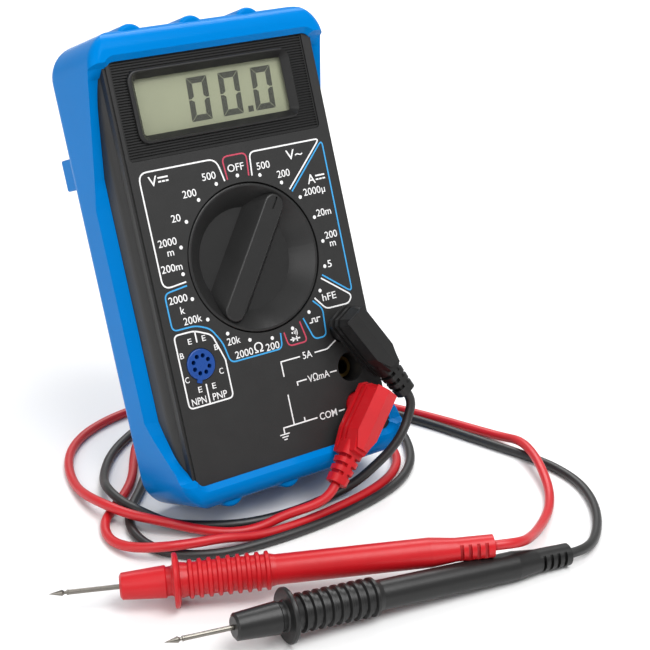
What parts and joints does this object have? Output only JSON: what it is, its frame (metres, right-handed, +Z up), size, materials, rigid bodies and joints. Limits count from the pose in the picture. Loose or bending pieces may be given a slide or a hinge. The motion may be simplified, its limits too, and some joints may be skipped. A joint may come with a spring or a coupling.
{
  "type": "digital multimeter",
  "caption": "Pocket digital multimeter in a soft boot, leaning on its stand, with a range dial, display, sockets and plug-in test leads with probes.",
  "frame": {"origin": "middle of the base of the leaning meter, on the surface that it stands on, cords and probes left out", "axes": "+Z up, +X to the right of the display, +Y away from the user; the face looks along -Y and is tilted back by 22 degrees"},
  "size_m": [0.1514, 0.1421, 0.1263],
  "materials": {
    "case": "satin charcoal, finely textured",
    "boot": "smooth glossy blue",
    "screw": "zinc plated",
    "foil": "bright foil",
    "panel": "satin black, grooved",
    "window": "clear, slightly matt",
    "lcd": "olive grey liquid crystal glass",
    "inner_plastic": "grey moulding",
    "zebra": "banded elastomer",
    "dial": "satin black",
    "steel": "bright",
    "gilt": "gilt contact metal",
    "board": "green solder mask",
    "potting": "black epoxy",
    "resistor": "blue lacquer",
    "capacitor": "brown dipped",
    "diode": "orange glass",
    "trim": "blue moulding",
    "copper": "bare wire",
    "fuse": "clear tube",
    "nickel": "nickel plate",
    "socket": "glossy blue",
    "brass": "turned",
    "battery": "printed metal jacket",
    "snap": "black moulding",
    "wire_red": "insulated wire",
    "wire_black": "insulated wire",
    "stand": "satin blue",
    "red_mould": "satin red",
    "black_mould": "satin black",
    "red_cord": "smooth red sheath",
    "black_cord": "smooth black sheath"
  },
  "bodies": {
    "root": {"front_case": "case", "rear_case": "case", "case_screws": "screw", "rear_shield": "foil", "display_panel": "panel", "display_window": "window", "lcd_cell": "lcd", "lcd_holder": "inner_plastic", "zebra_strips": "zebra", "circuit_board": "board", "switch_tracks": "gilt", "board_screws": "screw", "chip_blob": "potting", "resistors": "resistor", "capacitors": "capacitor", "diodes": "diode", "trimmer": "trim", "shunt_wire": "copper", "fuse": "fuse", "fuse_caps": "nickel", "fuse_clips": "nickel", "buzzer": "snap", "transistor_socket": "socket", "socket_contacts": "gilt", "jack_5a": "brass", "jack_vohm": "brass", "jack_com": "brass", "battery": "battery", "battery_terminals": "nickel", "battery_snap": "snap", "battery_lead_red": "wire_red", "battery_lead_black": "wire_black", "boot": "boot", "kickstand_pin": "steel", "red_cord": "red_cord", "red_probe_handle": "red_mould", "red_probe_nose": "red_mould", "red_probe_tip": "nickel", "black_cord": "black_cord", "black_probe_handle": "black_mould", "black_probe_nose": "black_mould", "black_probe_tip": "nickel"},
    "dial": {"dial_knob": "dial", "detent_balls": "steel", "detent_springs": "steel", "dial_contacts": "gilt"},
    "kickstand": {"kickstand": "stand"},
    "red_plug": {"red_plug_body": "red_mould", "red_plug_pin": "brass", "red_plug_spring": "nickel"},
    "black_plug": {"black_plug_body": "black_mould", "black_plug_pin": "brass", "black_plug_spring": "nickel"}
  },
  "joints": [
    {"name": "dial_turn", "type": "hinge", "parent": "root", "child": "dial", "pos_m": [0, -0.01173, 0.06645], "axis": [0, -0.9272, 0.3746], "continuous": true},
    {"name": "kickstand_fold", "type": "hinge", "parent": "root", "child": "kickstand", "pos_m": [0, 0.00994, 0.0523], "axis": [1, 0, 0], "range_deg": [-34.8, 0]},
    {"name": "red_plug_pull", "type": "slide", "parent": "root", "child": "red_plug", "axis": [0, -0.9272, 0.3746], "range_m": [0, 0.018]},
    {"name": "black_plug_pull", "type": "slide", "parent": "root", "child": "black_plug", "axis": [0, -0.9272, 0.3746], "range_m": [0, 0.018]}
  ]
}
